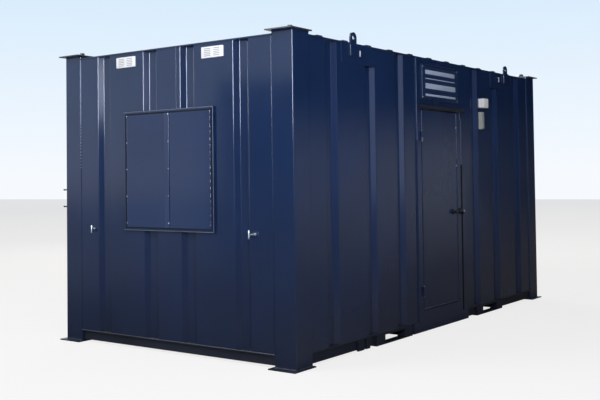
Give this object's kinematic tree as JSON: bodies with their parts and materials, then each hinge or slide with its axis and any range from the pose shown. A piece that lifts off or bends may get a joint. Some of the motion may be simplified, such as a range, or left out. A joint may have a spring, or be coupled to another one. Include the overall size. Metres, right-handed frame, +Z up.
{
  "type": "portable site cabin",
  "caption": "Steel site cabin on corner posts, with fluted walls, a hinged door, shuttered end windows, lifting eyes and fork pockets.",
  "frame": {"origin": "at ground level, under the middle of the cabin's four corner posts", "axes": "+X along the length, from the near window end to the far end; -Y out of the front (door) wall; +Z up"},
  "size_m": [5, 2.85, 2.7549],
  "materials": {
    "navy_paint": "semi-gloss sprayed enamel",
    "galvanised_steel": "zinc plated",
    "white_plastic": "satin moulded",
    "grey_plastic": "satin moulded",
    "white_frame": "extruded PVC",
    "clear_glass": "clear",
    "floor_board": "sheet vinyl",
    "ceiling_board": "faced board",
    "black_metal": "black coated",
    "sign_board": "satin sheet"
  },
  "bodies": {
    "cabin": {"back_wall": "navy_paint", "base_end_rails": "navy_paint", "base_lugs": "navy_paint", "base_side_rails": "navy_paint", "corner_posts": "navy_paint", "cover_strips": "navy_paint", "door_apron": "navy_paint", "door_head": "navy_paint", "door_jambs": "navy_paint", "door_sill": "navy_paint", "door_stops": "navy_paint", "drip_rail": "navy_paint", "floor_joists": "navy_paint", "floor_panel": "floor_board", "foot_plates": "navy_paint", "fork_pockets": "navy_paint", "frame_hinges": "navy_paint", "front_wall_left": "navy_paint", "front_wall_right": "navy_paint", "inlet_box": "grey_plastic", "left_end_wall": "navy_paint", "lifting_eyes": "navy_paint", "lifting_plates": "navy_paint", "lock_keep": "black_metal", "over_door_panel": "navy_paint", "post_pegs": "galvanised_steel", "right_end_wall": "navy_paint", "roof_deck": "ceiling_board", "roof_edge": "navy_paint", "roof_sheet": "navy_paint", "shutter_catches": "galvanised_steel", "shutter_frames": "navy_paint", "shutter_leaves": "navy_paint", "sign_plate": "sign_board", "sill_bars": "navy_paint", "stacking_cones": "navy_paint", "supply_box": "white_plastic", "top_plates": "navy_paint", "vent_grilles": "white_plastic", "window_frames": "white_frame", "window_glass": "clear_glass"},
    "door": {"door_leaf": "navy_paint", "leaf_hinges": "navy_paint", "door_knob": "black_metal", "lock_bar": "black_metal"}
  },
  "joints": [
    {"name": "door_hinge", "type": "hinge", "parent": "cabin", "child": "door", "pos_m": [-0.413, -1.381, 1.145], "axis": [0, 0, -1], "range_deg": [0, 115]}
  ]
}
